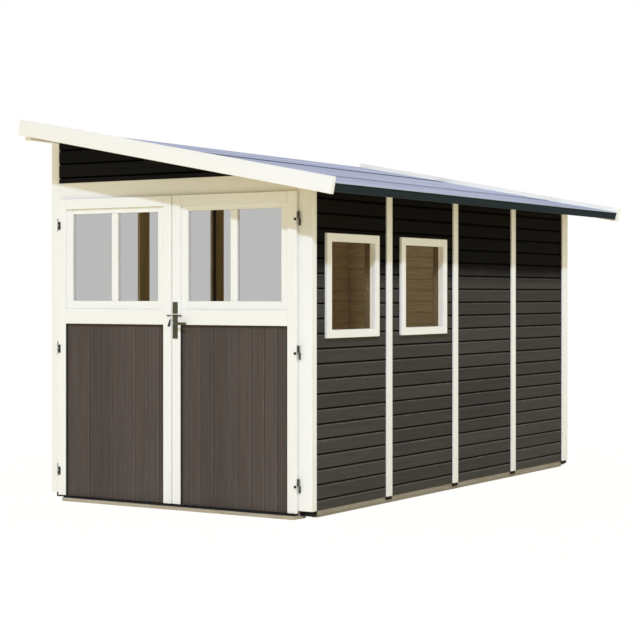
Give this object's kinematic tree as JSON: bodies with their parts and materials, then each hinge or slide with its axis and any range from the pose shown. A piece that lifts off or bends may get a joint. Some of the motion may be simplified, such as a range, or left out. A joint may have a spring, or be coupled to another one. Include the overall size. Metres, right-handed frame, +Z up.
{
  "type": "lean-to garden shed",
  "caption": "Timber lean-to garden shed with a single-slope roof, boarded walls, side windows and a glazed double door, open on its high side for a house wall.",
  "frame": {"origin": "centre of the overall box, on the ground", "axes": "+X to the low eave side on the right, +Y from the doors to the rear, +Z up"},
  "size_m": [2.3338, 4.23, 2.418],
  "materials": {
    "white_paint": "satin painted timber",
    "dark_stain": "dark stained softwood boards",
    "bare_timber": "untreated softwood",
    "roof_cover": "mineral-faced roofing sheet",
    "clear_glass": "clear",
    "dark_iron": "dark coated iron"
  },
  "bodies": {
    "shed": {"base_frame": "bare_timber", "floor_bearers": "bare_timber", "floor_deck": "bare_timber", "door_sill": "bare_timber", "right_panel_1": "dark_stain", "right_panel_2": "dark_stain", "right_panel_3": "dark_stain", "right_panel_4": "dark_stain", "wall_studs": "bare_timber", "low_wall_plate": "bare_timber", "right_cover_strips": "white_paint", "window_1_frame": "white_paint", "window_2_frame": "white_paint", "window_panes": "clear_glass", "front_left_jamb": "white_paint", "front_right_jamb": "white_paint", "front_header": "white_paint", "front_gable_panel": "dark_stain", "rear_panel": "dark_stain", "rear_cover_strips": "white_paint", "left_post_1": "bare_timber", "left_post_2": "bare_timber", "left_post_3": "bare_timber", "left_rear_post": "bare_timber", "high_purlin": "bare_timber", "middle_purlin": "bare_timber", "roof_deck": "bare_timber", "roof_sheet": "roof_cover", "eave_fascia": "dark_stain", "front_verge_board": "white_paint", "rear_verge_board": "white_paint", "hinge_pins": "dark_iron"},
    "left_door": {"left_leaf_frame": "white_paint", "left_leaf_boards": "dark_stain", "left_leaf_sash": "white_paint", "left_leaf_panes": "clear_glass", "left_leaf_hinges": "dark_iron"},
    "right_door": {"right_leaf_frame": "white_paint", "right_leaf_boards": "dark_stain", "right_leaf_sash": "white_paint", "right_leaf_panes": "clear_glass", "right_leaf_hinges": "dark_iron", "lock_plate": "dark_iron"},
    "lever_body": {"lever": "dark_iron"}
  },
  "joints": [
    {"name": "left_door_swing", "type": "hinge", "parent": "shed", "child": "left_door", "pos_m": [-1.08306, -1.828, 0.975], "axis": [0, 0, -1], "range_deg": [0, 105]},
    {"name": "right_door_swing", "type": "hinge", "parent": "shed", "child": "right_door", "pos_m": [0.75194, -1.828, 0.975], "axis": [0, 0, 1], "range_deg": [0, 105]},
    {"name": "lever_turn", "type": "hinge", "parent": "right_door", "child": "lever_body", "pos_m": [-0.13756, -1.844, 1.13798], "axis": [0, 1, 0], "range_deg": [0, 40], "stiffness_Nm_per_rad": 1.2, "springref_deg": -17.19}
  ]
}
